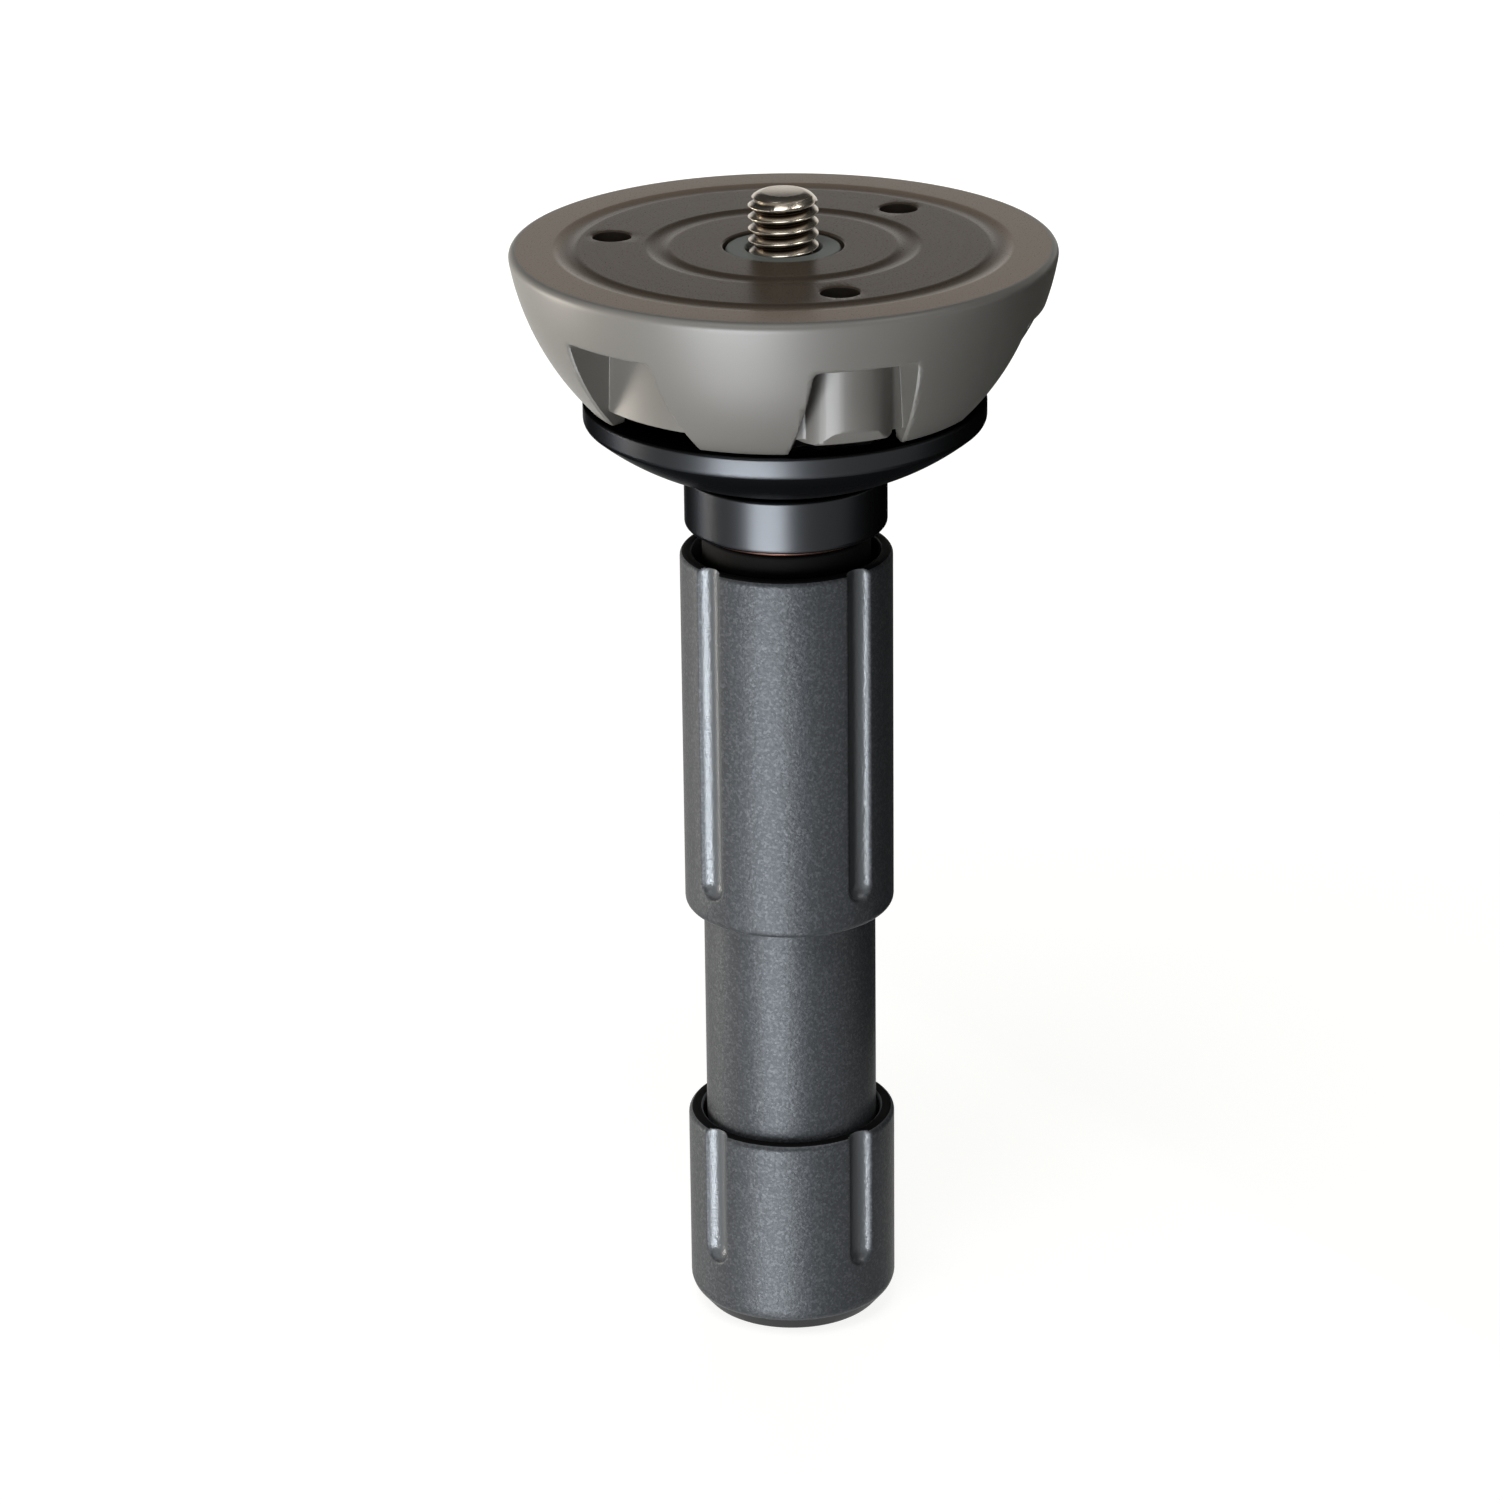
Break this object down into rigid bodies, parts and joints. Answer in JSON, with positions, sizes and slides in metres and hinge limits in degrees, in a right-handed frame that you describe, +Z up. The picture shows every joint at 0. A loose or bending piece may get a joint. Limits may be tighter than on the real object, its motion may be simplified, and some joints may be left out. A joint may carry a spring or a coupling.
{
  "type": "leveling half ball",
  "caption": "Leveling half ball for a tripod bowl: flat head face with a captive stud, slotted spherical skirt, clamp disc, long twist handle and a separate stud knob.",
  "frame": {"origin": "centre of the 75 mm sphere, on the main axis, 5.2 mm above the flat head face", "axes": "+Z up along the stud, square to the head face; -Y is the side that the picture shows"},
  "size_m": [0.074, 0.074, 0.1647],
  "materials": {
    "cast_alloy": "satin warm grey die casting",
    "dark_alloy": "satin black anodised",
    "charcoal_coat": "charcoal coat with a fine metallic grain",
    "bright_steel": "polished steel",
    "plain_steel": "turned steel",
    "black_steel": "black oxide",
    "brass": "turned brass",
    "bronze": "sintered bronze",
    "grey_nylon": "grey green nylon",
    "black_nylon": "black nylon"
  },
  "bodies": {
    "ball": {"half_ball": "cast_alloy", "stud_collar": "grey_nylon", "stud_washer": "plain_steel", "clamp_spindle": "plain_steel", "lock_nut": "black_steel", "spindle_stop_ring": "black_steel"},
    "clamp": {"clamp_disc": "dark_alloy", "clamp_hub": "dark_alloy", "guide_bush": "black_nylon", "bush_ring": "black_steel", "thrust_washer": "bronze"},
    "handle": {"thrust_sleeve": "black_steel", "drive_nut": "brass", "nut_lock_screw": "black_steel", "handle_tube": "charcoal_coat", "upper_grip": "charcoal_coat", "tube_end_bush": "black_nylon"},
    "drive": {"mounting_stud": "bright_steel", "stud_pin": "plain_steel", "drive_rod": "plain_steel", "lower_knob": "charcoal_coat", "knob_insert": "brass", "knob_washer": "plain_steel", "knob_screw": "black_steel", "knob_end_cap": "black_nylon"},
    "lock_screw_1": {"set_screw_1": "black_steel"},
    "lock_screw_2": {"set_screw_2": "black_steel"},
    "lock_screw_3": {"set_screw_3": "black_steel"}
  },
  "joints": [
    {"name": "clamp_slide", "type": "slide", "parent": "ball", "child": "clamp", "axis": [0, 0, 1], "range_m": [-0.012, 0]},
    {"name": "handle_turn", "type": "hinge", "parent": "clamp", "child": "handle", "pos_m": [0, 0, -0.07], "axis": [0, 0, 1], "range_deg": [-2160, 0]},
    {"name": "stud_turn", "type": "hinge", "parent": "ball", "child": "drive", "pos_m": [0, 0, 0], "axis": [0, 0, 1], "continuous": true},
    {"name": "lock_screw_1_drive", "type": "slide", "parent": "ball", "child": "lock_screw_1", "axis": [0, 0, 1], "range_m": [-0.006, 0.004]},
    {"name": "lock_screw_2_drive", "type": "slide", "parent": "ball", "child": "lock_screw_2", "axis": [0, 0, 1], "range_m": [-0.006, 0.004]},
    {"name": "lock_screw_3_drive", "type": "slide", "parent": "ball", "child": "lock_screw_3", "axis": [0, 0, 1], "range_m": [-0.006, 0.004]}
  ],
  "couplings": [
    {"joint": "handle_turn", "follows": "clamp_slide", "rad_per_m": 3141.6}
  ]
}
